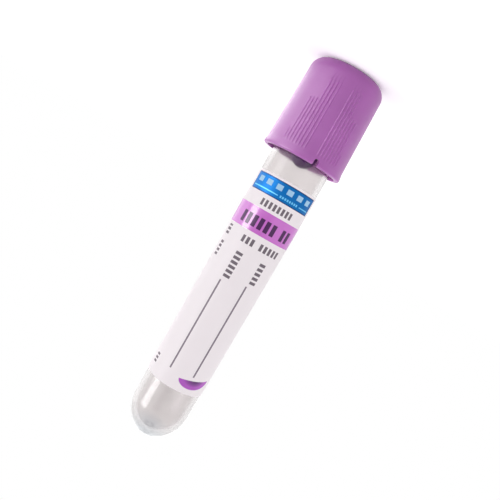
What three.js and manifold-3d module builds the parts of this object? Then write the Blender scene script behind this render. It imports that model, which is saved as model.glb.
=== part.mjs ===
// Evacuated blood collection tube, 13 x 75 mm: a clear round-bottomed plastic tube with a wrapped
// label, shut by a rubber stopper that is held in a moulded cap with grip ribs.
//
// Every piece is drawn cap up in the assembly's own frame, in millimetres: the tube's axis is +Y,
// heights are measured from the outside tip of its round bottom, and +Z is the front. Azimuths are
// measured from the front towards +X. The closed tube can't stand on its round bottom and rolls
// when it lies, so the group stands it on the flat top of its cap: round bottom up, front towards
// -Y, and the origin on the axis, in the plane that it stands on.
import * as THREE from "three";
import { mergeVertices } from "three/addons/utils/BufferGeometryUtils.js";
import Module from "manifold-3d";

const manifold = await Module();
manifold.setup();

// Driving dimensions, in millimetres
// -- tube
const TUBE_LENGTH = 75;
const LIP_DIAMETER = 13; // outside, at the open end
const TIP_DIAMETER = 12.2; // outside, where the round bottom starts: the wall has a draft
const TIP_HEIGHT = 7.4; // of the round bottom, which is drawn out a little from a half ball
const TUBE_WALL = 1;
const TUBE_FLOOR = 1.5; // thickness at the tip of the round bottom, where the plastic is fed in
const LIP_ROUND = 0.35; // radius on both edges of the lip

// -- label
const LABEL_BOTTOM = 12.8; // height of its lower edge
const LABEL_TOP = 59.6;
const LABEL_THICKNESS = 0.1;
const GLUE_LINE = 0.04; // the film of adhesive between label and tube
const LABEL_WINDOW = 36; // degrees of the back that stay uncovered, to read the level

// -- cap
const SKIRT_REACH = 10.4; // how far the skirt hangs below the tube's lip
const CAP_WALL = 0.8;
const RIM_GAP = 1.25; // from the tube out to the skirt at its rim
const NECK_GAP = 0.85; // from the lip's outside out to the skirt, just under the ledge
const RIM_FLARE = 0.2; // how far the rim band stands out from the skirt
const RIM_BAND_HEIGHT = 1.8;
const RIM_EDGE = 0.4; // radius on the rim's outer lower edge
const CAP_EDGE = 2.8; // radius of the shoulder round the top, unless the opening leaves less room
const TOP_RING = 0.5; // least width of the flat ring between the needle opening and the shoulder
const TOP_PLATE = 1.6;
const POCKET_EDGE = 0.9; // radius in the pocket's upper corner, under the shoulder
const NEEDLE_OPENING_DIAMETER = 8.6;
const NEEDLE_OPENING_CHAMFER = 0.3;
const COLLAR_WALL = 1.1; // the ring round the needle opening that bears on the stopper
const COLLAR_DEPTH = 1.6; // from the top plate down to the stopper
const LEDGE_HEIGHT = 1.5; // the ledge that the stopper's head sits on
const LEDGE_CLEARANCE = 0.25; // radial, from the ledge to the tube's lip
const LEDGE_LEAD_IN = 0.9; // height of the slope under the ledge

// -- grip ribs, in one field on the front of the cap and one on the back
const RIB_FIELDS = [4.3, 184.3]; // azimuth of the smooth lane in the middle of each field
const LANE_HALF_ANGLE = 9.6; // from the lane's middle to the first rib
const RIB_PITCH = 4.8; // degrees
const RIB_SHARES = [1, 1, 1, 1, 0.69, 0.675, 0.66, 0.19]; // of the longest rib, lane outwards
const RIB_START = 1.6; // above the rim
const RIB_END = 1.5; // from the foot of the shoulder down to the end of the longest rib
const RIB_WIDTH = 0.34;
const RIB_HEIGHT = 0.16;
const RIB_ROOT = 0.2; // how deep a rib is sunk in the wall
const RIB_RUN_OUT = 0.5; // length over which each end of a rib fades into the wall
const RIB_BEVEL = 0.07;

// -- vent notch in the rim
const NOTCH_AZIMUTH = 17.5;
const NOTCH_WIDTH = 1.1;
const NOTCH_HEIGHT = 1.4;

// -- stopper
const SEAT_GAP = 0.25; // left between the stopper's head and what it seats on or in
const HEAD_OVERHANG = 0.5; // how far the head stands out past the tube's lip
const HEAD_HEIGHT = 6.4;
const HEAD_CHAMFER = 0.4;
const WELL_MARGIN = 1.1; // from the needle opening in to the well
const WELL_DEPTH = 2.4;
const WELL_FILLET = 0.6;
const PLUG_LENGTH = 6; // from the lip down to the plug's lower shoulder
const PLUG_NECK_GAP = 0.4; // radial, from the bore to the plug between its rings
const RING_CLEARANCE = 0.08; // radial, from the bore to the crest of a sealing ring
const RING_COUNT = 3;
const RING_PITCH = 1.7;
const RING_FIRST = 1.5; // from the lip down to the middle of the first ring
const RING_HALF_HEIGHT = 0.55;
const NOSE_RADIUS = 2.7;
const NOSE_REACH = 11.55; // from the lip down to the tip of the nose

const ROUND_STEPS = 72; // facets round every turned piece
const DEGREE = Math.PI / 180;

// Heights that more than one piece uses
const RIM_Y = TUBE_LENGTH - SKIRT_REACH;
const HEAD_BOTTOM_Y = TUBE_LENGTH + SEAT_GAP;
const HEAD_TOP_Y = HEAD_BOTTOM_Y + HEAD_HEIGHT;
const COLLAR_BOTTOM_Y = HEAD_TOP_Y + SEAT_GAP;
const CAP_TOP_Y = COLLAR_BOTTOM_Y + COLLAR_DEPTH + TOP_PLATE;

// Radii that more than one piece uses
const TIP_RADIUS = TIP_DIAMETER / 2;
const LIP_RADIUS = LIP_DIAMETER / 2;
const HEAD_RADIUS = LIP_RADIUS + HEAD_OVERHANG;
const POCKET_RADIUS = HEAD_RADIUS + SEAT_GAP;
const NEEDLE_OPENING_RADIUS = NEEDLE_OPENING_DIAMETER / 2;

// The tube's outside narrows evenly from the lip down to the start of the round bottom.
function tubeRadiusAt(y) {
  const share = (y - TIP_HEIGHT) / (TUBE_LENGTH - TIP_HEIGHT);
  return TIP_RADIUS + (LIP_RADIUS - TIP_RADIUS) * share;
}

function boreRadiusAt(y) {
  return tubeRadiusAt(y) - TUBE_WALL;
}

const RIM_INNER_RADIUS = tubeRadiusAt(RIM_Y) + RIM_GAP;
const SKIRT_OUTER_RADIUS = RIM_INNER_RADIUS + CAP_WALL;
const CAP_TOP_RADIUS = POCKET_RADIUS + CAP_WALL;
const OPENING_EDGE_RADIUS = NEEDLE_OPENING_RADIUS + NEEDLE_OPENING_CHAMFER;
const SHOULDER_RADIUS = Math.min(CAP_EDGE, CAP_TOP_RADIUS - OPENING_EDGE_RADIUS - TOP_RING);
const SHOULDER_Y = CAP_TOP_Y - SHOULDER_RADIUS;

function point(radius, y) {
  return new THREE.Vector2(radius, y);
}

// Points on an arc in a profile, from one angle to another, both in degrees from the outward radius.
// With a rise other than its radius, the arc is part of an ellipse.
function arc(radius, y, r, fromDegrees, toDegrees, steps, rise = r) {
  return Array.from({ length: steps + 1 }, (_, i) => {
    const angle = (fromDegrees + ((toDegrees - fromDegrees) * i) / steps) * DEGREE;
    return point(radius + r * Math.cos(angle), y + rise * Math.sin(angle));
  });
}

// A point that should lie on the axis, without the rounding error of a cosine.
function onAxis(profile, index) {
  profile.at(index).x = 0;
  return profile;
}

function revolve(profile) {
  return new THREE.LatheGeometry(profile, ROUND_STEPS);
}

// A closed mesh as a solid that can be joined and cut.
function toSolid(geometry) {
  const bare = new THREE.BufferGeometry();
  bare.setAttribute("position", geometry.getAttribute("position"));
  bare.setIndex(geometry.getIndex());
  const merged = mergeVertices(bare);
  return new manifold.Manifold(
    new manifold.Mesh({
      numProp: 3,
      vertProperties: merged.getAttribute("position").array,
      triVerts: new Uint32Array(merged.getIndex().array),
    }),
  );
}

function toGeometry(solid) {
  const mesh = solid.getMesh();
  const geometry = new THREE.BufferGeometry();
  geometry.setAttribute("position", new THREE.BufferAttribute(mesh.vertProperties, 3));
  geometry.setIndex(new THREE.BufferAttribute(mesh.triVerts, 1));
  geometry.computeVertexNormals();
  return geometry;
}

// Tube: one injection moulding in clear plastic. The wall is even, the floor a little thicker, and
// both edges of the lip are rounded.
function tubeGeometry() {
  const bowlRise = TIP_HEIGHT - TUBE_FLOOR;
  const outside = onAxis(arc(0, TIP_HEIGHT, TIP_RADIUS, -90, 0, 10, TIP_HEIGHT), 0);
  const inside = onAxis(arc(0, TIP_HEIGHT, TIP_RADIUS - TUBE_WALL, 0, -90, 7, bowlRise), -1);
  const roundY = TUBE_LENGTH - LIP_ROUND;
  return revolve([
    ...outside,
    ...arc(LIP_RADIUS - LIP_ROUND, roundY, LIP_ROUND, 0, 90, 3),
    ...arc(LIP_RADIUS - TUBE_WALL + LIP_ROUND, roundY, LIP_ROUND, 90, 180, 3),
    ...inside,
  ]);
}

// Label: a printed film wrapped round the tube and glued, with a bare window down the back. It is
// a ring sector drawn at the height of its lower edge, extruded up, and widened with the tube.
function labelGeometry() {
  const inner = tubeRadiusAt(LABEL_BOTTOM) + GLUE_LINE;
  const outer = inner + LABEL_THICKNESS;
  const half = (180 - LABEL_WINDOW / 2) * DEGREE;
  const front = Math.PI / 2;
  const section = new THREE.Shape();
  section.absarc(0, 0, outer, front - half, front + half, false);
  section.absarc(0, 0, inner, front + half, front - half, true);
  section.closePath();
  const label = new THREE.ExtrudeGeometry(section, {
    depth: LABEL_TOP - LABEL_BOTTOM,
    steps: 1,
    curveSegments: ROUND_STEPS,
    bevelEnabled: false,
  });
  // stand the sector up: its plane becomes level and its front faces +Z
  label.rotateX(-Math.PI / 2).rotateY(Math.PI).translate(0, LABEL_BOTTOM, 0);
  const place = label.getAttribute("position");
  for (let i = 0; i < place.count; i += 1) {
    const widened = tubeRadiusAt(place.getY(i)) / tubeRadiusAt(LABEL_BOTTOM);
    place.setX(i, place.getX(i) * widened);
    place.setZ(i, place.getZ(i) * widened);
  }
  return label;
}

// Grip rib: its side outline, with a run-out at each end, is extruded across its width. It stands
// on a wall that leans in with the cap's taper.
function ribSolid(azimuth, share) {
  const bandTop = RIM_Y + RIM_BAND_HEIGHT;
  const taper = (SKIRT_OUTER_RADIUS - CAP_TOP_RADIUS) / (SHOULDER_Y - bandTop);
  const wallAt = (y) => SKIRT_OUTER_RADIUS - (y - bandTop) * taper;
  const foot = RIM_Y + RIB_START;
  const end = foot + (SHOULDER_Y - RIB_END - foot) * share;
  const outline = new THREE.Shape([
    point(wallAt(foot) - RIB_ROOT, foot),
    point(wallAt(foot), foot),
    point(wallAt(foot + RIB_RUN_OUT) + RIB_HEIGHT, foot + RIB_RUN_OUT),
    point(wallAt(end - RIB_RUN_OUT) + RIB_HEIGHT, end - RIB_RUN_OUT),
    point(wallAt(end), end),
    point(wallAt(end) - RIB_ROOT, end),
  ]);
  const rib = new THREE.ExtrudeGeometry(outline, {
    depth: RIB_WIDTH - 2 * RIB_BEVEL,
    steps: 1,
    bevelEnabled: true,
    bevelSegments: 1,
    bevelSize: RIB_BEVEL,
    bevelOffset: -RIB_BEVEL,
    bevelThickness: RIB_BEVEL,
  });
  // the outline's radius runs along +X at first, which is azimuth 90
  rib.translate(0, 0, RIB_BEVEL - RIB_WIDTH / 2).rotateY((azimuth - 90) * DEGREE);
  return toSolid(rib);
}

// Vent notch: a round-topped slot through the rim, drawn facing the front and turned to its place.
function notchSolid() {
  const half = NOTCH_WIDTH / 2;
  const outline = new THREE.Shape();
  outline.moveTo(-half, RIM_Y - NOTCH_WIDTH);
  outline.lineTo(half, RIM_Y - NOTCH_WIDTH);
  outline.absarc(0, RIM_Y + NOTCH_HEIGHT - half, half, 0, Math.PI, false);
  outline.closePath();
  const depth = CAP_WALL + RIM_FLARE + 2 * RIM_GAP;
  const slot = new THREE.ExtrudeGeometry(outline, { depth, curveSegments: 4, bevelEnabled: false });
  slot.translate(0, 0, RIM_INNER_RADIUS - RIM_GAP / 2).rotateY(NOTCH_AZIMUTH * DEGREE);
  return toSolid(slot);
}

// Cap: one opaque moulding. Outside, a tapered skirt with a flared rim band and grip ribs. Inside,
// from the top down: the needle opening with its collar, the pocket that holds the stopper's head,
// the ledge under the head, and the skirt that hangs round the tube's neck.
function capGeometry() {
  const ledgeTop = HEAD_BOTTOM_Y - SEAT_GAP;
  const ledgeBottom = ledgeTop - LEDGE_HEIGHT;
  const ledgeRadius = LIP_RADIUS + LEDGE_CLEARANCE;
  const skirtTop = ledgeBottom - LEDGE_LEAD_IN;
  const plateBottom = CAP_TOP_Y - TOP_PLATE;
  const collarRadius = NEEDLE_OPENING_RADIUS + COLLAR_WALL;
  const rimRadius = SKIRT_OUTER_RADIUS + RIM_FLARE;
  const bandTop = RIM_Y + RIM_BAND_HEIGHT;
  const outside = [
    ...arc(rimRadius - RIM_EDGE, RIM_Y + RIM_EDGE, RIM_EDGE, -90, 0, 3),
    point(rimRadius - RIM_FLARE / 4, RIM_Y + RIM_BAND_HEIGHT / 2),
    point(SKIRT_OUTER_RADIUS + RIM_FLARE / 4, bandTop - RIM_BAND_HEIGHT / 6),
    point(SKIRT_OUTER_RADIUS, bandTop),
    ...arc(CAP_TOP_RADIUS - SHOULDER_RADIUS, SHOULDER_Y, SHOULDER_RADIUS, 0, 90, 6),
  ];
  const opening = [
    point(OPENING_EDGE_RADIUS, CAP_TOP_Y),
    point(NEEDLE_OPENING_RADIUS, CAP_TOP_Y - NEEDLE_OPENING_CHAMFER),
    point(NEEDLE_OPENING_RADIUS, COLLAR_BOTTOM_Y),
    point(collarRadius, COLLAR_BOTTOM_Y),
    point(collarRadius, plateBottom),
  ];
  const inside = [
    ...arc(POCKET_RADIUS - POCKET_EDGE, plateBottom - POCKET_EDGE, POCKET_EDGE, 90, 0, 2),
    point(POCKET_RADIUS, ledgeTop),
    point(ledgeRadius, ledgeTop),
    point(ledgeRadius, ledgeBottom),
    point(LIP_RADIUS + NECK_GAP, skirtTop),
    point(RIM_INNER_RADIUS, RIM_Y),
  ];
  let cap = toSolid(revolve([...outside, ...opening, ...inside, outside[0]]));
  for (const lane of RIB_FIELDS) {
    RIB_SHARES.forEach((share, i) => {
      const away = LANE_HALF_ANGLE + i * RIB_PITCH;
      cap = cap.add(ribSolid(lane + away, share)).add(ribSolid(lane - away, share));
    });
  }
  return toGeometry(cap.subtract(notchSolid()));
}

// Stopper: one rubber moulding. The head has a well on top, where the needle goes through. The plug
// below it has sealing rings, a sloped shoulder and a round nose.
function stopperGeometry() {
  const wellRadius = NEEDLE_OPENING_RADIUS - WELL_MARGIN;
  const wellBottom = HEAD_TOP_Y - WELL_DEPTH;
  const noseTip = TUBE_LENGTH - NOSE_REACH;
  const noseY = noseTip + NOSE_RADIUS;
  const shoulderY = TUBE_LENGTH - PLUG_LENGTH;
  const neckRadius = boreRadiusAt(shoulderY) - PLUG_NECK_GAP;
  const nose = onAxis(arc(0, noseY, NOSE_RADIUS, -90, 0, 7), 0);
  const slopeFoot = shoulderY - (neckRadius - NOSE_RADIUS);
  const rings = Array.from({ length: RING_COUNT }, (_, i) => {
    const y = TUBE_LENGTH - RING_FIRST - (RING_COUNT - 1 - i) * RING_PITCH;
    const crest = boreRadiusAt(y) - RING_CLEARANCE;
    return [
      point(neckRadius, y - RING_HALF_HEIGHT),
      point(crest, y - RING_HALF_HEIGHT / 4),
      point(crest, y + RING_HALF_HEIGHT / 4),
      point(neckRadius, y + RING_HALF_HEIGHT),
    ];
  });
  return revolve([
    ...nose,
    point(NOSE_RADIUS, slopeFoot),
    point(neckRadius, shoulderY),
    ...rings.flat(),
    point(neckRadius, HEAD_BOTTOM_Y),
    point(HEAD_RADIUS, HEAD_BOTTOM_Y),
    point(HEAD_RADIUS, HEAD_TOP_Y - HEAD_CHAMFER),
    point(HEAD_RADIUS - HEAD_CHAMFER, HEAD_TOP_Y),
    point(wellRadius, HEAD_TOP_Y),
    ...arc(wellRadius - WELL_FILLET, wellBottom + WELL_FILLET, WELL_FILLET, 0, -90, 3),
    point(0, wellBottom),
  ]);
}

function piece(name, geometry, finish) {
  const mesh = new THREE.Mesh(geometry, new THREE.MeshStandardMaterial(finish));
  mesh.name = name;
  return mesh;
}

const closedTube = new THREE.Group();
closedTube.add(
  piece("tube", tubeGeometry(), {
    color: "#e4e2e4",
    roughness: 0.12,
    metalness: 0,
    transparent: true,
    opacity: 0.4,
  }),
  piece("label", labelGeometry(), { color: "#f2eef3", roughness: 0.45, metalness: 0 }),
  piece("cap", capGeometry(), { color: "#b376bd", roughness: 0.4, metalness: 0 }),
  piece("stopper", stopperGeometry(), { color: "#4f2559", roughness: 0.6, metalness: 0 }),
);

// The drawn +Y points down, so the cap's top is at Z = 0.
closedTube.rotation.set(Math.PI / 2, 0, Math.PI);
closedTube.position.z = CAP_TOP_Y;

export default closedTube;
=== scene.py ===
import math

import bmesh
import bpy
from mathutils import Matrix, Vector


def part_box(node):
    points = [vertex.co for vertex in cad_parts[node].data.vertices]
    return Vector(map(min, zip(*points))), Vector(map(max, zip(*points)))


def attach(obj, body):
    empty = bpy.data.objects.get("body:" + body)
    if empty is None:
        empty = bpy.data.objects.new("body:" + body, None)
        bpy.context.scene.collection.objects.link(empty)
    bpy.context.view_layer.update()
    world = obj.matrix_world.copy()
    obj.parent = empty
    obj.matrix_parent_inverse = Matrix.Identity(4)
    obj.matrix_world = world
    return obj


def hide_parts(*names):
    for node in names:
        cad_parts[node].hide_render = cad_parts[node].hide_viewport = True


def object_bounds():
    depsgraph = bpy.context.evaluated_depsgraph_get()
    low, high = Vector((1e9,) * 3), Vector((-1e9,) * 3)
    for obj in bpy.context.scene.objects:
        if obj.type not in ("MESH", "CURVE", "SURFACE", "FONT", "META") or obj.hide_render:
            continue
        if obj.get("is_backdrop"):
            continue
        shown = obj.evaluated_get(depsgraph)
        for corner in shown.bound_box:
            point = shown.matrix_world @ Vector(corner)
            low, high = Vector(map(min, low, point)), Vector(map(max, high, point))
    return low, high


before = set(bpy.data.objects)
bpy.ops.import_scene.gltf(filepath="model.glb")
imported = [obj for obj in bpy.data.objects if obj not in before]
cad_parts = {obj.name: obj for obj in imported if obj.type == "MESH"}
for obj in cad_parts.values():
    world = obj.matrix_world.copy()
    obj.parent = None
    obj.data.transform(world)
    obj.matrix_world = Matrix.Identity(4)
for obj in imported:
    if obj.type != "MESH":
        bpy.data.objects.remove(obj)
cad_low, cad_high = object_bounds()


# ---- Tube ---------------------------------------------------------------------------------------
# One injection moulding in clear plastic, round bottom up and open at the lip. A ball gives the
# round bottom, its edge is drawn down to the lip as a drafted wall, and the wall is thickened
# inwards, with a heavier floor and a small crater at the tip, where the mould was fed.


def pick(piece, kind, test):
    """In edit mode, selects the vertices, edges or faces whose middle passes the test."""
    bpy.ops.mesh.select_all(action="DESELECT")
    bpy.ops.mesh.select_mode(type=kind)
    mesh = bmesh.from_edit_mesh(piece.data)
    for part in {"VERT": mesh.verts, "EDGE": mesh.edges, "FACE": mesh.faces}[kind]:
        corners = [part] if kind == "VERT" else part.verts
        if test(sum((v.co for v in corners), Vector()) / len(corners)):
            part.select_set(True)
    bmesh.update_edit_mesh(piece.data)


def begin(name):
    """Names the primitive that was just added and opens it for editing."""
    piece = bpy.context.object
    piece.name = piece.data.name = name
    bpy.ops.object.mode_set(mode="EDIT")
    return piece


def modify(piece, kind, **settings):
    """Closes a piece's edit mode, adds a modifier with its settings, and applies it."""
    bpy.ops.object.mode_set(mode="OBJECT")
    bpy.context.view_layer.objects.active = piece
    modifier = piece.modifiers.new(kind.lower(), kind)
    for name, value in settings.items():
        setattr(modifier, name, value)
    bpy.ops.object.modifier_apply(modifier=modifier.name)


def close(piece, material, sharp):
    """Closes a piece's edit mode, smooths it up to an angle in degrees, with long faces shaded true
    up to their ends, and gives it its material."""
    bpy.ops.object.mode_set(mode="OBJECT")
    bpy.ops.object.select_all(action="DESELECT")
    piece.select_set(True)
    bpy.context.view_layer.objects.active = piece
    bpy.ops.object.shade_smooth_by_angle(angle=math.radians(sharp))
    modify(piece, "WEIGHTED_NORMAL", keep_sharp=True, weight=50)
    piece.data.materials.clear()
    piece.data.materials.append(material)


def radius_of(place):
    return math.hypot(place.x, place.y)


def node(tree, kind, inputs=None, **settings):
    """Adds a node, sets its properties, and sets each input to a value or links it to a socket."""
    made = tree.nodes.new(kind)
    for name, value in settings.items():
        setattr(made, name, value)
    for key, value in (inputs or {}).items():
        if isinstance(value, bpy.types.NodeSocket):
            tree.links.new(value, made.inputs[key])
        else:
            made.inputs[key].default_value = value
    return made


def colour(code):
    """A colour written as on screen, such as "c878c8", in the linear values that shaders take."""
    parts = [int(code[i : i + 2], 16) / 255 for i in (0, 2, 4)]
    return [c / 12.92 if c < 0.04045 else ((c + 0.055) / 1.055) ** 2.4 for c in parts] + [1]


def new_material(name, **constants):
    """A material with one Principled shader, whose sockets that stay the same are set here."""
    material = bpy.data.materials.new(name)
    material.use_nodes = True
    shader = material.node_tree.nodes["Principled BSDF"]
    for socket, value in constants.items():
        shader.inputs[socket.replace("_", " ")].default_value = value
    return material, material.node_tree, shader


def object_place(tree):
    """Where a point lies on its piece, in the piece's own coordinates."""
    return node(tree, "ShaderNodeTexCoord").outputs["Object"]


def noise(tree, place, scale, detail=2.0):
    inputs = {"Vector": place, "Scale": scale, "Detail": detail}
    return node(tree, "ShaderNodeTexNoise", inputs).outputs["Fac"]


def ramp(tree, value, start, end, low=0.0, high=1.0, smooth=False):
    """Goes from low to high while the value goes from start to end, and stays level outside."""
    inputs = {"Value": value, "From Min": start, "From Max": end, "To Min": low, "To Max": high}
    shape = "SMOOTHSTEP" if smooth else "LINEAR"
    return node(tree, "ShaderNodeMapRange", inputs, interpolation_type=shape).outputs["Result"]


def math_node(tree, operation, *values, clamp=False):
    inputs = dict(enumerate(values))
    return node(tree, "ShaderNodeMath", inputs, operation=operation, use_clamp=clamp).outputs[0]


def vector_node(tree, operation, *values):
    made = node(tree, "ShaderNodeVectorMath", dict(enumerate(values)), operation=operation)
    return made.outputs["Value" if operation in ("LENGTH", "DOT_PRODUCT") else "Vector"]


def mixed(tree, factor, low, high, kind="FLOAT"):
    """Mixes two values, or two colours if the kind is RGBA."""
    inputs = {"Factor": factor, "A": low, "B": high}
    return node(tree, "ShaderNodeMix", inputs, data_type=kind).outputs["Result"]


def new_group(name, inputs, outputs):
    """An empty node group with its sockets, each given as a name and a type."""
    group = bpy.data.node_groups.new(name, "ShaderNodeTree")
    for direction, sockets in (("INPUT", inputs), ("OUTPUT", outputs)):
        for socket, kind in sockets.items():
            group.interface.new_socket(socket, in_out=direction, socket_type="NodeSocket" + kind)
    return group, node(group, "NodeGroupInput").outputs


def moulded_surface():
    """Shared effect: how a moulded surface varies. Clouds shift its tone, and a fine grain, as of a
    spark-eroded mould, lifts it."""
    colours = {"Dark": "Color", "Light": "Color"}
    sizes = dict.fromkeys(("Cloud Scale", "Grain Scale", "Rough From", "Rough To"), "Float")
    given = {"Color": "Color", "Roughness": "Float", "Height": "Float"}
    group, taken = new_group("moulded_surface", {**colours, **sizes}, given)
    place = object_place(group)
    cloud = ramp(group, noise(group, place, taken["Cloud Scale"], 3.0), 0.3, 0.7)
    grain = noise(group, place, taken["Grain Scale"])
    looks = {
        "Color": mixed(group, cloud, taken["Dark"], taken["Light"], "RGBA"),
        "Roughness": ramp(group, grain, 0.0, 1.0, taken["Rough From"], taken["Rough To"]),
        "Height": grain,
    }
    node(group, "NodeGroupOutput", looks)
    return group


MOULDED_SURFACE = moulded_surface()


def raise_grain(tree, shader, grain, strength, distance):
    """Gives a shader a fine grain as bump."""
    inputs = {"Height": grain, "Strength": strength, "Distance": distance}
    bump = node(tree, "ShaderNodeBump", inputs)
    tree.links.new(bump.outputs["Normal"], shader.inputs["Normal"])


def finish_surface(tree, shader, looks, strength, distance):
    """Lays a moulded surface with these looks into a shader, with its grain as bump."""
    surface = node(tree, "ShaderNodeGroup", looks, node_tree=MOULDED_SURFACE).outputs
    tree.links.new(surface["Color"], shader.inputs["Base Color"])
    tree.links.new(surface["Roughness"], shader.inputs["Roughness"])
    raise_grain(tree, shader, surface["Height"], strength, distance)


def let_light_through(tree, shader, tint):
    """Thin walls pass light: each surface lets this share of it through to what is behind."""
    see_through = node(tree, "ShaderNodeBsdfTransparent", {"Color": colour(tint)})
    ray = node(tree, "ShaderNodeLightPath").outputs["Is Shadow Ray"]
    inputs = {0: ray, 1: shader.outputs[0], 2: see_through.outputs[0]}
    mixture = node(tree, "ShaderNodeMixShader", inputs)
    tree.links.new(mixture.outputs[0], tree.nodes["Material Output"].inputs["Surface"])


# When a shape is picked by its place, places closer than this count as the same.
NEAR = 0.0001

TUBE_WALL = 0.001
TUBE_FLOOR = 0.0015
TIP_HEIGHT = 0.0074
LIP_ROUND = 0.00035
GATE_RADIUS = 0.0007
GATE_DEPTH = 0.00012
GREY_TIP = 0.0033
TUBE_STEPS = 160

tube_low, tube_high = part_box("tube")
LIP_RADIUS = tube_high.x
TIP_RADIUS = 0.0061
BOWL_START = tube_high.z - TIP_HEIGHT
WALL_LENGTH = BOWL_START - tube_low.z

bpy.ops.object.select_all(action="DESELECT")
bpy.ops.mesh.primitive_uv_sphere_add(
    segments=TUBE_STEPS, ring_count=TUBE_STEPS // 2, radius=TIP_RADIUS
)
tube = begin("clear_tube")
pick(tube, "FACE", lambda at: at.z < 0)
bpy.ops.mesh.delete(type="FACE")
bpy.ops.mesh.select_all(action="SELECT")
bpy.ops.transform.resize(value=(1, 1, TIP_HEIGHT / TIP_RADIUS), center_override=(0, 0, 0))
bpy.ops.transform.translate(value=(0, 0, BOWL_START))
pick(tube, "FACE", lambda at: radius_of(at) < GATE_RADIUS)
bpy.ops.mesh.inset(thickness=GATE_DEPTH / 2, depth=-GATE_DEPTH)
pick(tube, "EDGE", lambda at: at.z < BOWL_START + NEAR)
bpy.ops.mesh.extrude_region_move(TRANSFORM_OT_translate={"value": (0, 0, -WALL_LENGTH)})
spread = LIP_RADIUS / TIP_RADIUS
bpy.ops.transform.resize(value=(spread, spread, 1), center_override=(0, 0, 0))
modify(tube, "SOLIDIFY", thickness=TUBE_WALL, offset=-1, use_even_offset=True)

bpy.ops.object.mode_set(mode="EDIT")


def in_bore(place):
    """Whether a place round the bottom's bowl lies on the inside of the wall."""
    out = radius_of(place) / (TIP_RADIUS - TUBE_WALL / 2)
    up = (place.z - BOWL_START) / (TIP_HEIGHT - TUBE_WALL / 2)
    return place.z > BOWL_START - NEAR and math.hypot(out, up) < 1


def on_lip_corner(place):
    """Whether a place is on the lip's end, at its outer or its inner edge."""
    from_middle = abs(radius_of(place) - LIP_RADIUS + TUBE_WALL / 2)
    return place.z < tube_low.z + NEAR and from_middle > TUBE_WALL / 3


pick(tube, "VERT", in_bore)
deeper = (TIP_HEIGHT - TUBE_FLOOR) / (TIP_HEIGHT - TUBE_WALL)
bpy.ops.transform.resize(value=(1, 1, deeper), center_override=(0, 0, BOWL_START))
pick(tube, "EDGE", on_lip_corner)
bpy.ops.mesh.bevel(offset=LIP_ROUND, segments=4)


def clear_plastic():
    """Clear moulded plastic with a faint haze, greyer where the floor makes the tip thick."""
    material, tree, shader = new_material(
        "clear_plastic", IOR=1.4, Transmission_Weight=1.0, Metallic=0.0
    )
    height = node(tree, "ShaderNodeSeparateXYZ", {0: object_place(tree)}).outputs["Z"]
    thick = ramp(tree, height, tube_high.z - GREY_TIP, tube_high.z, smooth=True)
    looks = {
        "Dark": mixed(tree, thick, colour("e1dddd"), colour("c2c8ce"), "RGBA"),
        "Light": mixed(tree, thick, colour("e5e1e1"), colour("c2c8ce"), "RGBA"),
        "Cloud Scale": 160,
        "Grain Scale": 900,
        "Rough From": 0.1,
        "Rough To": 0.18,
    }
    finish_surface(tree, shader, looks, strength=0.03, distance=0.00001)
    let_light_through(tree, shader, "fdfafd")
    return material


close(tube, clear_plastic(), 40)
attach(tube, "vial")
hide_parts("tube")


# ---- Label --------------------------------------------------------------------------------------
# A die-cut film with round corners, printed flat, then wrapped round the tube and glued. A bare
# window is left down the back, to read the level. Words are left out: short plain blocks of ink
# stand in their places.
LABEL_THICKNESS = 0.0001
LABEL_CORNER = 0.0012
LABEL_STEPS = 180
LABEL_WINDOW = math.radians(36)
GLUE_LINE = 0.00004

label_low, label_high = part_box("label")
LABEL_LENGTH = label_high.z - label_low.z


def tube_radius_at(z):
    share = (z - tube_low.z) / WALL_LENGTH
    return LIP_RADIUS + (TIP_RADIUS - LIP_RADIUS) * share


def from_back(place):
    """Angle round the tube, from straight back."""
    return abs(math.atan2(place.x, place.y))


bpy.ops.object.select_all(action="DESELECT")
bpy.ops.mesh.primitive_cylinder_add(
    vertices=LABEL_STEPS,
    radius=tube_radius_at(label_low.z) + GLUE_LINE,
    depth=LABEL_LENGTH,
    end_fill_type="NOTHING",
)
label = begin("printed_label")
bpy.ops.transform.translate(value=(0, 0, label_low.z + LABEL_LENGTH / 2))
pick(label, "VERT", lambda at: at.z > label_low.z + LABEL_LENGTH / 2)
narrowing = tube_radius_at(label_high.z) / tube_radius_at(label_low.z)
bpy.ops.transform.resize(value=(narrowing, narrowing, 1), center_override=(0, 0, 0))
pick(label, "FACE", lambda at: from_back(at) < LABEL_WINDOW / 2)
bpy.ops.mesh.delete(type="FACE")

label_column = 2 * math.pi / LABEL_STEPS
label_radius = tube_radius_at((label_low.z + label_high.z) / 2)
for step in range(round(LABEL_CORNER / (label_column * label_radius))):
    side = LABEL_WINDOW / 2 + step * label_column
    reach = LABEL_CORNER - step * label_column * label_radius
    lift = LABEL_CORNER - math.sqrt(LABEL_CORNER**2 - reach**2)
    for end, away in ((label_low.z, lift), (label_high.z, -lift)):
        pick(label, "VERT", lambda at: abs(from_back(at) - side) < label_column / 3
             and abs(at.z - end) < NEAR)
        bpy.ops.transform.translate(value=(0, 0, away))
modify(label, "SOLIDIFY", thickness=LABEL_THICKNESS, offset=1, use_even_offset=True)


# Each edge of a print fades over a 25th of a millimetre.
EDGE_SHARPNESS = 25.0


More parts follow.
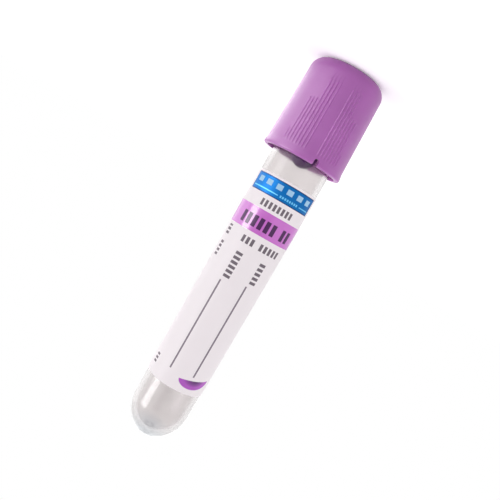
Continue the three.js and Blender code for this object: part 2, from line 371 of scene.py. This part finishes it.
def print_block():
    """Shared effect: a block of ink on a label, or a row of blocks with gaps between them. Places
    and sizes are in millimetres."""
    names = ("Along", "Across", "From", "To", "Bottom", "Top", "Pitch", "Ink Share")
    group, taken = new_group("print_block", dict.fromkeys(names, "Float"), {"Mask": "Float"})

    def between(place, low, high):
        above = math_node(group, "SUBTRACT", place, low)
        below = math_node(group, "SUBTRACT", high, place)
        edge = math_node(group, "MINIMUM", above, below)
        return math_node(group, "MULTIPLY", edge, EDGE_SHARPNESS, clamp=True)

    row = between(taken["Along"], taken["From"], taken["To"])
    height = between(taken["Across"], taken["Bottom"], taken["Top"])
    along = math_node(group, "SUBTRACT", taken["Along"], taken["From"])
    turns = math_node(group, "FRACT", math_node(group, "DIVIDE", along, taken["Pitch"]))
    inked = math_node(group, "LESS_THAN", turns, taken["Ink Share"])
    block = math_node(group, "MULTIPLY", row, height)
    node(group, "NodeGroupOutput", {"Mask": math_node(group, "MULTIPLY", block, inked)})
    return group


PRINT_BLOCK = print_block()

# Ink, direction that the row runs in, its start and end, its two edges, pitch and ink share.
# Across is counted from the middle of the front, to the right with the cap up, and up from the
# edge nearest the round bottom, in millimetres.
WHOLE = 1000
PRINTS = [
    ("lavender", "across", (-18, 18), (34.84, 39.7), WHOLE, 1),
    ("navy", "across", (-7.4, 7.7), (42.6, 46.35), WHOLE, 1),
    ("blue", "across", (-7.2, 7.5), (42.8, 46.15), WHOLE, 1),
    ("sky", "across", (-6.9, -0.6), (43.35, 43.6), WHOLE, 1),
    ("sky", "across", (4.3, 7.2), (43.35, 43.6), WHOLE, 1),
    ("sky", "across", (-0.2, 3.9), (43.25, 43.75), 0.52, 0.62),
    ("pale", "across", (-6.2, 6.6), (44.45, 45.6), 2.28, 0.56),
    ("grey", "across", (-2.9, 4.1), (40.3, 41.75), 0.9, 0.6),
    ("plum", "across", (-5.2, 2.5), (35.75, 38.2), 1.36, 0.66),
    ("plum", "across", (3.9, 6.6), (35.75, 38.2), 1.36, 0.66),
    ("grey", "across", (-2.6, 0.3), (32.2, 33.7), 1.0, 0.62),
    ("grey", "across", (1.3, 6.2), (32.2, 33.7), 1.0, 0.62),
    ("grey", "up", (24.5, 30.5), (-2.2, -0.7), 1.02, 0.6),
    ("grey", "up", (25.6, 30.6), (3.15, 4.6), 1.02, 0.6),
    ("line", "up", (3.4, 23.7), (-2.33, -1.94), WHOLE, 1),
    ("line", "up", (3.8, 24.9), (2.85, 3.25), WHOLE, 1),
    ("grey", "up", (32.0, 34.2), (-7.6, -6.2), 0.9, 0.6),
    ("grey", "up", (27.2, 30.7), (-7.4, -6.2), 0.9, 0.6),
    ("grey", "up", (2.2, 4.3), (-7.3, -6.1), 0.8, 0.6),
]
# Colour, share of glossy coat and share of metal of each ink. What is printed later covers what is
# under it, in all three.
INKS = {
    "lavender": ("cc6cce", 0.9, 0.0),
    "navy": ("04346f", 0.027, 0.38),
    "blue": ("006ab2", 0.027, 0.38),
    "sky": ("6fc4ee", 0.027, 0.38),
    "pale": ("a6cdea", 0.027, 0.0),
    "grey": ("766c75", 0.0, 0.0),
    "plum": ("4a1354", 0.36, 0.0),
    "line": ("877a87", 0.0, 0.0),
}
MOON_INK = ("ae4cbe", 0.45, 0.0)
MOON_HEART_COLOUR = "5a1a6c"
MOON_PLACE = (3.9, 3.2)
MOON_HALF = (3.6, 2.0)
MOON_TILT = math.radians(9.5)
MOON_SHARPNESS = 12.0
MOON_HEART = 2.2
INK_WAVER = 0.06
MILLIMETRES = 1000.0


def half_moon(tree, across, up):
    """Masks of the half-moon and of its darker heart. It is half an ellipse, tilted, and its flat
    edge is the one away from the round bottom."""

    def sums(operation, *values, clamp=False):
        return math_node(tree, operation, *values, clamp=clamp)

    right = sums("SUBTRACT", across, MOON_PLACE[0])
    above = sums("SUBTRACT", up, MOON_PLACE[1])
    cos, sin = math.cos(MOON_TILT), math.sin(MOON_TILT)
    along = sums("ADD", sums("MULTIPLY", right, cos), sums("MULTIPLY", above, sin))
    over = sums("SUBTRACT", sums("MULTIPLY", above, cos), sums("MULTIPLY", right, sin))
    reach = sums("POWER", sums("DIVIDE", along, MOON_HALF[0]), 2.0)
    depth = sums("POWER", sums("DIVIDE", over, MOON_HALF[1]), 2.0)
    from_rim = sums("SUBTRACT", sums("SUBTRACT", 1.0, reach), depth)
    inside = sums("MULTIPLY", from_rim, MOON_SHARPNESS)
    under = sums("MULTIPLY", over, -EDGE_SHARPNESS)
    moon = sums("MULTIPLY", sums("MINIMUM", inside, under), 1.0, clamp=True)
    from_heart = sums("MULTIPLY", sums("ADD", reach, depth), MOON_HEART)
    return moon, sums("SUBTRACT", 1.0, from_heart, clamp=True)


def outer_face(tree, axes):
    """Mask of the film's outer face, which is the printed one."""
    middles = [tube_radius_at(z) + GLUE_LINE + LABEL_THICKNESS / 2 for z in (label_low.z, label_high.z)]
    middle = ramp(tree, axes["Z"], label_low.z, label_high.z, *middles)
    squares = [math_node(tree, "POWER", axes[axis], 2.0) for axis in ("X", "Y")]
    radius = math_node(tree, "SQRT", math_node(tree, "ADD", *squares))
    return math_node(tree, "GREATER_THAN", radius, middle)


def printed_film():
    """White satin film with its print: bands, writing lines, a half-moon and rows of blocks. The
    lavender and purple inks are glossier than the bare film, and the blue ones have a metallic
    sheen. Some light passes through, so the bare inside is not dark."""
    material, tree, shader = new_material(
        "printed_film",
        IOR=1.25,
        Coat_Roughness=0.2,
        Coat_IOR=1.75,
        Subsurface_Weight=0.4,
        Subsurface_Radius=(1.0, 1.0, 1.0),
        Subsurface_Scale=0.00015,
    )
    place = object_place(tree)
    axes = node(tree, "ShaderNodeSeparateXYZ", {0: place}).outputs

    def sums(operation, *values):
        return math_node(tree, operation, *values)

    waver = sums("MULTIPLY", sums("SUBTRACT", noise(tree, place, 6000.0), 0.5), INK_WAVER)
    turn = sums("ARCTAN2", sums("MULTIPLY", axes["X"], -1.0), sums("MULTIPLY", axes["Y"], -1.0))
    across = sums("ADD", sums("MULTIPLY", turn, label_radius * MILLIMETRES), waver)
    up = sums("MULTIPLY", sums("SUBTRACT", label_high.z, axes["Z"]), MILLIMETRES)
    up = sums("ADD", up, waver)

    cloud = noise(tree, place, 120.0)
    bare = film = mixed(tree, cloud, colour("f1e9ed"), colour("f5edf1"), "RGBA")
    coat = metal = 0.0
    for ink, direction, (start, end), (bottom, top), pitch, share in PRINTS:
        along, beside = (across, up) if direction == "across" else (up, across)
        block = {
            "Along": along, "From": start, "To": end, "Pitch": pitch, "Ink Share": share,
            "Across": beside, "Bottom": bottom, "Top": top,
        }
        mask = node(tree, "ShaderNodeGroup", block, node_tree=PRINT_BLOCK).outputs["Mask"]
        ink_colour, ink_coat, ink_metal = INKS[ink]
        film = mixed(tree, mask, film, colour(ink_colour), "RGBA")
        coat = mixed(tree, mask, coat, ink_coat)
        metal = mixed(tree, mask, metal, ink_metal)

    moon, heart = half_moon(tree, across, up)
    moon_colour, moon_coat, moon_metal = MOON_INK
    purple = mixed(tree, heart, colour(moon_colour), colour(MOON_HEART_COLOUR), "RGBA")
    film = mixed(tree, moon, film, purple, "RGBA")
    coat = mixed(tree, moon, coat, moon_coat)
    metal = mixed(tree, moon, metal, moon_metal)

    outside = outer_face(tree, axes)
    grain = noise(tree, place, 2500.0)
    sockets = {
        "Base Color": mixed(tree, outside, bare, film, "RGBA"),
        "Roughness": ramp(tree, grain, 0.0, 1.0, 0.4, 0.55),
        "Coat Weight": sums("MULTIPLY", coat, outside),
        "Metallic": sums("MULTIPLY", metal, outside),
    }
    for name, socket in sockets.items():
        tree.links.new(socket, shader.inputs[name])
    raise_grain(tree, shader, grain, strength=0.15, distance=0.00001)
    let_light_through(tree, shader, "f8f4f6")
    return material


close(label, printed_film(), 40)
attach(label, "vial")
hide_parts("label")


# ---- Stopper ------------------------------------------------------------------------------------
# One moulding in dark rubber that a needle can pierce. Its head, with the well that guides the
# needle, sits in the cap. Three sealing rings grip the bore, and the plug ends in a round nose.
HEAD_HEIGHT = 0.0064
HEAD_EDGE = 0.0004
WELL_RADIUS = 0.0032
WELL_DEPTH = 0.0024
WELL_FILLET = 0.0006
PLUG_RADIUS = 0.005065
PLUG_LENGTH = 0.006
RING_FIRST = 0.0015
RING_PITCH = 0.0017
RING_COUNT = 3
RING_HALF_HEIGHT = 0.00055
RING_CLEARANCE = 0.00008
NOSE_RADIUS = 0.0027
STOPPER_STEPS = 144
SPIN_SEAM = 0.000002

stopper_low, stopper_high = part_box("stopper")
HEAD_RADIUS = stopper_high.x


def arc(radius, z, size, start, end, steps):
    """Points of an outline, as radius and height, along an arc between two angles in degrees."""
    points = []
    for step in range(steps + 1):
        angle = math.radians(start + (end - start) * step / steps)
        points.append((radius + size * math.cos(angle), z + size * math.sin(angle)))
    return points


def turned(name, outline, steps, start):
    """A solid turned about the Z axis: its outline is drawn point by point in the plane at the
    start angle, and spun right round."""
    bpy.ops.object.select_all(action="DESELECT")
    bpy.ops.mesh.primitive_plane_add(size=1)
    piece = begin(name)
    bpy.ops.mesh.merge(type="CENTER")
    here = Vector()
    for count, (radius, z) in enumerate(outline):
        place = Vector((radius * math.cos(start), radius * math.sin(start), z))
        if count == 0:
            bpy.ops.transform.translate(value=place)
        else:
            bpy.ops.mesh.extrude_region_move(TRANSFORM_OT_translate={"value": place - here})
        here = place
    bpy.ops.mesh.select_all(action="SELECT")
    bpy.ops.mesh.spin(steps=steps, angle=2 * math.pi, center=(0, 0, 0), axis=(0, 0, 1))
    bpy.ops.mesh.select_all(action="SELECT")
    bpy.ops.mesh.remove_doubles(threshold=SPIN_SEAM)
    bpy.ops.mesh.normals_make_consistent(inside=False)
    return piece


def sealing_ring(middle):
    """Half an ellipse that swells from the plug nearly to the bore."""
    swell = tube_radius_at(middle) - TUBE_WALL - RING_CLEARANCE - PLUG_RADIUS
    half_circle = arc(0, 0, 1, 90, -90, 10)
    return [(PLUG_RADIUS + swell * x, middle + RING_HALF_HEIGHT * y) for x, y in half_circle]


shoulder = tube_low.z + PLUG_LENGTH
head_bottom = stopper_low.z + HEAD_HEIGHT
stopper_outline = arc(0, stopper_high.z - NOSE_RADIUS, NOSE_RADIUS, 90, 0, 20)
stopper_outline += [(NOSE_RADIUS, shoulder + PLUG_RADIUS - NOSE_RADIUS), (PLUG_RADIUS, shoulder)]
for ring in reversed(range(RING_COUNT)):
    stopper_outline += sealing_ring(tube_low.z + RING_FIRST + ring * RING_PITCH)
stopper_outline += [(PLUG_RADIUS, head_bottom)]
stopper_outline += arc(HEAD_RADIUS - HEAD_EDGE / 2, head_bottom - HEAD_EDGE / 2, HEAD_EDGE / 2, 90, 0, 4)
stopper_outline += arc(HEAD_RADIUS - HEAD_EDGE, stopper_low.z + HEAD_EDGE, HEAD_EDGE, 0, -90, 6)
well_bottom = stopper_low.z + WELL_DEPTH
stopper_outline += [(WELL_RADIUS, stopper_low.z)]
stopper_outline += arc(WELL_RADIUS - WELL_FILLET, well_bottom - WELL_FILLET, WELL_FILLET, 0, 90, 6)
stopper_outline += [(0, well_bottom)]
stopper = turned("rubber_stopper", stopper_outline, STOPPER_STEPS, 0)


def dark_rubber():
    """Plum rubber, matt from its fine grain."""
    material, tree, shader = new_material("dark_rubber", IOR=1.3)
    looks = {
        "Dark": colour("4c1060"),
        "Light": colour("57186a"),
        "Cloud Scale": 300,
        "Grain Scale": 2500,
        "Rough From": 0.45,
        "Rough To": 0.65,
    }
    finish_surface(tree, shader, looks, strength=0.4, distance=0.00003)
    return material


close(stopper, dark_rubber(), 35)
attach(stopper, "closure")
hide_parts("stopper")


# ---- Cap ----------------------------------------------------------------------------------------
# One moulding in lilac satin plastic, turned in outline, with raised grip ribs on its front and
# back and a vent notch in its flared rim. The stopper's head snaps into it past the ledge.
CAP_STEPS = 300
CAP_EDGE = 0.0028
CAP_WALL = 0.0008
RIM_FLARE = 0.0002
RIM_BAND = 0.0018
RIM_EDGE = 0.0004
RIM_GAP = 0.00125
NECK_GAP = 0.00085
TOP_PLATE = 0.0016
NEEDLE_RADIUS = 0.0043
NEEDLE_CHAMFER = 0.0003
COLLAR_WALL = 0.0011
COLLAR_END = 0.0032
POCKET_GAP = 0.00025
POCKET_EDGE = 0.0009
LEDGE_HEIGHT = 0.0015
LEDGE_SLOPE = 0.0009
MOULD_EDGE = 0.00004

LANE = math.radians(4.3)
LANES = [LANE, LANE + math.pi]
RIB_FIRST = math.radians(9.6)
RIB_PITCH = math.radians(4.8)
RIB_SHARES = [1, 1, 1, 1, 0.69, 0.675, 0.66, 0.19]
RIB_END = 0.0043
RIB_ROUND = [(0.00003, 0.00007), (0.00004, 0.00005), (0.00005, 0.00003)]
RIB_RUN_OUT = 0.0005
RIB_END_DROP = 0.8

NOTCH_ANGLE = math.radians(17.5)
NOTCH_WIDTH = 0.0011
NOTCH_HEIGHT = 0.0014
NOTCH_ROUND = 0.49 * NOTCH_WIDTH

cap_low, cap_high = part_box("cap")
RIM_RADIUS = cap_high.x
SKIRT_RADIUS = RIM_RADIUS - RIM_FLARE
POCKET_RADIUS = HEAD_RADIUS + POCKET_GAP
TOP_RADIUS = POCKET_RADIUS + CAP_WALL
rib_foot = cap_high.z - RIM_BAND
rib_ends = [rib_foot - (rib_foot - RIB_END) * share for share in RIB_SHARES]


def cap_radius_at(z):
    share = (rib_foot - z) / (rib_foot - CAP_EDGE)
    return SKIRT_RADIUS + (TOP_RADIUS - SKIRT_RADIUS) * share


rib_loops = set(rib_ends)
for loop in [rib_foot - RIB_RUN_OUT] + [end + RIB_RUN_OUT for end in rib_ends]:
    if min(abs(loop - other) for other in rib_loops) > RIB_RUN_OUT / 2:
        rib_loops.add(loop)
cap_outline = arc(RIM_RADIUS - RIM_EDGE, cap_high.z - RIM_EDGE, RIM_EDGE, 90, 0, 5)
cap_outline += [
    (RIM_RADIUS - RIM_FLARE / 4, cap_high.z - RIM_BAND / 2),
    (SKIRT_RADIUS + RIM_FLARE / 4, rib_foot + RIM_BAND / 6),
    (SKIRT_RADIUS, rib_foot),
]
cap_outline += [(cap_radius_at(z), z) for z in sorted(rib_loops, reverse=True)]
cap_outline += arc(TOP_RADIUS - CAP_EDGE, CAP_EDGE, CAP_EDGE, 0, -90, 10)
ledge_top = tube_low.z
ledge_radius = LIP_RADIUS + POCKET_GAP
cap_outline += [
    (NEEDLE_RADIUS + NEEDLE_CHAMFER, cap_low.z),
    (NEEDLE_RADIUS, NEEDLE_CHAMFER),
    (NEEDLE_RADIUS, COLLAR_END),
    (NEEDLE_RADIUS + COLLAR_WALL, COLLAR_END),
    (NEEDLE_RADIUS + COLLAR_WALL, TOP_PLATE),
    *arc(POCKET_RADIUS - POCKET_EDGE, TOP_PLATE + POCKET_EDGE, POCKET_EDGE, -90, 0, 5),
    (POCKET_RADIUS, ledge_top),
    (ledge_radius, ledge_top),
    (ledge_radius, ledge_top + LEDGE_HEIGHT),
    (LIP_RADIUS + NECK_GAP, ledge_top + LEDGE_HEIGHT + LEDGE_SLOPE),
    (tube_radius_at(cap_high.z) + RIM_GAP, cap_high.z),
    cap_outline[0],
]
front = 1.5 * math.pi
cap = turned("ribbed_cap", cap_outline, CAP_STEPS, front - LANE)
column = 2 * math.pi / CAP_STEPS


def rib_at(place):
    """Number of the grip rib that a place round the cap belongs to, counted from its lane, or None."""
    azimuth = math.atan2(-place.x, -place.y)
    away = min(abs(math.remainder(azimuth - lane, 2 * math.pi)) for lane in LANES)
    number = round((away - RIB_FIRST) / RIB_PITCH)
    near = abs(away - RIB_FIRST - number * RIB_PITCH) < column
    return number if near and 0 <= number < len(RIB_SHARES) else None


def on_rib(place):
    number = rib_at(place)
    return (
        number is not None
        and rib_ends[number] < place.z < rib_foot
        and radius_of(place) > cap_radius_at(place.z) - CAP_WALL / 2
    )


# Each inset steps in from a rib's sides and up, which gives the rib a round back.
pick(cap, "FACE", on_rib)
for step_in, rise in RIB_ROUND:
    bpy.ops.mesh.inset(thickness=step_in, depth=rise)


def rib_end_at(height):
    """A test for the places at the two ends of each rib that stand at a height over the skirt."""

    def test(place):
        number = rib_at(place)
        return (
            number is not None
            and abs(radius_of(place) - cap_radius_at(place.z) - height) < RIB_ROUND[-1][1] / 3
            and min(abs(place.z - rib_ends[number]), abs(place.z - rib_foot)) < RIB_RUN_OUT / 2
        )

    return test


# The ends of the ribs are let down towards the skirt, so that the ribs run out into it.
rib_height = 0
for step_in, rise in RIB_ROUND:
    rib_height += rise
    pick(cap, "VERT", rib_end_at(rib_height))
    lowered = 1 - RIB_END_DROP * rib_height / SKIRT_RADIUS
    bpy.ops.transform.resize(value=(lowered, lowered, 1), center_override=(0, 0, 0))
modify(cap, "BEVEL", width=MOULD_EDGE, segments=2, limit_method="ANGLE", angle_limit=math.radians(40))

bpy.ops.object.select_all(action="DESELECT")
bpy.ops.mesh.primitive_cube_add(size=1)
cutter = begin("notch_cutter")
slot_length = 2 * (RIM_GAP + CAP_WALL)
slot_height = NOTCH_HEIGHT + NOTCH_WIDTH
bpy.ops.transform.resize(value=(NOTCH_WIDTH, slot_length, slot_height), center_override=(0, 0, 0))
pick(cutter, "EDGE", lambda at: at.z < -slot_height / 3 and abs(at.x) > NOTCH_WIDTH / 3)
bpy.ops.mesh.bevel(offset=NOTCH_ROUND, segments=8)
bpy.ops.mesh.select_all(action="SELECT")
slot_middle = cap_high.z - NOTCH_HEIGHT + slot_height / 2
bpy.ops.transform.translate(value=(0, -SKIRT_RADIUS, slot_middle))
bpy.ops.transform.rotate(value=NOTCH_ANGLE, orient_axis="Z", center_override=(0, 0, 0))
bpy.ops.object.mode_set(mode="OBJECT")
modify(cap, "BOOLEAN", operation="DIFFERENCE", solver="MANIFOLD", object=cutter)
bpy.data.objects.remove(cutter)


def lilac_plastic():
    """Opaque lilac plastic with a satin skin: the fine grain of its mould softens every highlight."""
    material, tree, shader = new_material(
        "lilac_plastic",
        IOR=1.6,
        Subsurface_Weight=0.5,
        Subsurface_Radius=(1.0, 0.6, 1.0),
        Subsurface_Scale=0.001,
    )
    looks = {
        "Dark": colour("a557a8"),
        "Light": colour("ad5eb0"),
        "Cloud Scale": 140,
        "Grain Scale": 3000,
        "Rough From": 0.3,
        "Rough To": 0.5,
    }
    finish_surface(tree, shader, looks, strength=0.3, distance=0.00002)
    return material


close(cap, lilac_plastic(), 35)
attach(cap, "closure")
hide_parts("cap")


# ---- Floor --------------------------------------------------------------------------------------
# A plain white table, which keeps the tube's shadow. It looks white to the eye and through the
# clear tube. What mirrors it shows it brighter on the side where the lamp shines on it, from a
# little way off the cap to a distance.
FLOOR_SIZE = 6.0
TABLE_GLOW = 0.31
LAMP_SIDE_GLOW = 2.4
LAMP_SIDE_FULL = 0.65
# Start and end of each stretch away from the cap, and what multiplies the glow at both.
GLOW_STRETCHES = [(0.012, 0.03, 0.0, 1.0), (0.03, 0.06, 1.0, 1.35), (0.18, 0.3, 1.0, 0.0)]

bpy.ops.object.select_all(action="DESELECT")
bpy.ops.mesh.primitive_plane_add(size=FLOOR_SIZE)
table = bpy.context.object
table.name = table.data.name = "table"

white_table, tree, shader = new_material(
    "white_table", Roughness=1.0, Specular_IOR_Level=0.0, Emission_Color=(1, 1, 1, 1)
)
place = object_place(tree)
paper = mixed(tree, noise(tree, place, 8.0), colour("f4f4f4"), colour("f8f8f8"), "RGBA")
tree.links.new(paper, shader.inputs["Base Color"])

path = node(tree, "ShaderNodeLightPath").outputs
seen = math_node(tree, "MAXIMUM", path["Is Camera Ray"], path["Is Glossy Ray"])
seen = math_node(tree, "MAXIMUM", seen, path["Is Transmission Ray"])
mirrored = math_node(
    tree, "SUBTRACT", path["Is Glossy Ray"], path["Is Transmission Ray"], clamp=True
)
outwards = vector_node(tree, "NORMALIZE", place)
to_lamp = node(tree, "ShaderNodeSeparateXYZ", {0: outwards}).outputs["X"]
lamp_side = ramp(tree, to_lamp, 0.0, LAMP_SIDE_FULL, 0.0, LAMP_SIDE_GLOW)
distance = vector_node(tree, "LENGTH", place)
for start, end, low, high in GLOW_STRETCHES:
    stretch = ramp(tree, distance, start, end, low, high)
    lamp_side = math_node(tree, "MULTIPLY", lamp_side, stretch)
glow = math_node(
    tree,
    "ADD",
    math_node(tree, "MULTIPLY", seen, TABLE_GLOW),
    math_node(tree, "MULTIPLY", lamp_side, mirrored),
)
tree.links.new(glow, shader.inputs["Emission Strength"])
table.data.materials.append(white_table)
table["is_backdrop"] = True


# ---- Light --------------------------------------------------------------------------------------
# A white room with one large soft lamp at the left of the picture, and two bright cards beside it
# that only reflections show. What mirrors the room shows it brighter overhead, dimmer at the right
# of the picture, and dark where the camera stands.
ROOM_LEVEL = 0.93
WHITE_LEVEL = 1.0
RIGHT_LEVEL = 0.8
RIGHT_TO_LEFT = (-0.6, 0.4)
OVERHEAD_LEVEL = 2.0
LEVEL_TO_OVERHEAD = (0.1, 0.5)
DARK_LEVEL = 0.05
DARK_MIDDLE = (0.14, -0.99, 0)
DARK_STRETCH = (1, 1, 1.2)
DARK_FROM = math.radians(18)
DARK_TO = math.radians(32)
FRONT_TO_BACK = (-0.1, 0.2)

world = bpy.data.worlds.new("white_room")
bpy.context.scene.world = world
world.use_nodes = True
tree = world.node_tree
background = tree.nodes["Background"]
background.inputs["Color"].default_value = (1, 1, 1, 1)
direction = node(tree, "ShaderNodeTexCoord").outputs["Generated"]
axes = node(tree, "ShaderNodeSeparateXYZ", {0: direction}).outputs
flattened = vector_node(tree, "NORMALIZE", vector_node(tree, "MULTIPLY", direction, DARK_STRETCH))
at_camera = vector_node(tree, "DOT_PRODUCT", flattened, DARK_MIDDLE)

sides = ramp(tree, axes["X"], *RIGHT_TO_LEFT, RIGHT_LEVEL, WHITE_LEVEL)
sides = mixed(tree, ramp(tree, axes["Z"], *LEVEL_TO_OVERHEAD), sides, OVERHEAD_LEVEL)
mirrored = ramp(
    tree, at_camera, math.cos(DARK_TO), math.cos(DARK_FROM), sides, DARK_LEVEL, smooth=True
)
path = node(tree, "ShaderNodeLightPath").outputs
straight = math_node(tree, "MAXIMUM", path["Is Camera Ray"], path["Is Transmission Ray"])
level = mixed(tree, straight, ROOM_LEVEL, WHITE_LEVEL)

# Reflections inside the clear wall leave it as transmission rays, so mirrored light is told by how
# often it was mirrored. What is seen straight through the tube, behind it, stays white.
behind = ramp(tree, axes["Y"], *FRONT_TO_BACK)
behind = math_node(tree, "MULTIPLY", behind, path["Is Transmission Ray"])
gloss = math_node(tree, "MINIMUM", path["Glossy Depth"], 1.0)
gloss = math_node(tree, "SUBTRACT", gloss, path["Is Diffuse Ray"])
gloss = math_node(tree, "SUBTRACT", gloss, behind, clamp=True)
tree.links.new(mixed(tree, gloss, level, mirrored), background.inputs["Strength"])

middle = Vector((0, 0, (cad_low.z + cad_high.z) / 2))


def soft_lamp(name, direction, distance, size, power):
    """A rectangular soft box that faces the middle of the tube."""
    data = bpy.data.lights.new(name, "AREA")
    data.shape = "RECTANGLE"
    data.size, data.size_y = size
    data.energy = power
    lamp = bpy.data.objects.new(name, data)
    bpy.context.collection.objects.link(lamp)
    away = Vector(direction).normalized()
    lamp.location = middle + away * distance
    lamp.rotation_mode = "QUATERNION"
    lamp.rotation_quaternion = away.to_track_quat("Z", "Y")
    return lamp


soft_lamp("left_soft_box", (0.996, -0.087, 0.1), distance=0.6, size=(0.42, 0.6), power=0.42)
cards = [
    soft_lamp("front_card", (0.87, -0.5, 0.1), distance=0.62, size=(0.32, 0.6), power=5.4),
    soft_lamp("side_card", (0.883, 0.469, 0.1), distance=0.62, size=(0.66, 0.6), power=1.0),
]
for card in cards:
    card.visible_diffuse = False
    card.visible_transmission = False


# ---- Camera -------------------------------------------------------------------------------------
# It looks level at the tube from the front, a little from below, and is rolled so that the cap
# points up and to the right.
CAMERA_DISTANCE = 0.1366
CAMERA_TILT = math.radians(3.3)
CAMERA_ROLL = math.radians(-150)
AIM_HEIGHT = 0.0411
LENS = 48.0
SENSOR_WIDTH = 36.0
CLIP_START = 0.01

camera_data = bpy.data.cameras.new("camera")
camera_data.lens = LENS
camera_data.sensor_width = SENSOR_WIDTH
camera_data.clip_start = CLIP_START
camera = bpy.data.objects.new("camera", camera_data)
bpy.context.collection.objects.link(camera)
camera.rotation_mode = "ZYX"
camera.rotation_euler = (math.pi / 2 + CAMERA_TILT, 0, CAMERA_ROLL)
camera.location = (
    0,
    -CAMERA_DISTANCE * math.cos(CAMERA_TILT),
    AIM_HEIGHT - CAMERA_DISTANCE * math.sin(CAMERA_TILT),
)
bpy.context.scene.camera = camera
bpy.context.scene.view_settings.view_transform = "Standard"

low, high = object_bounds()
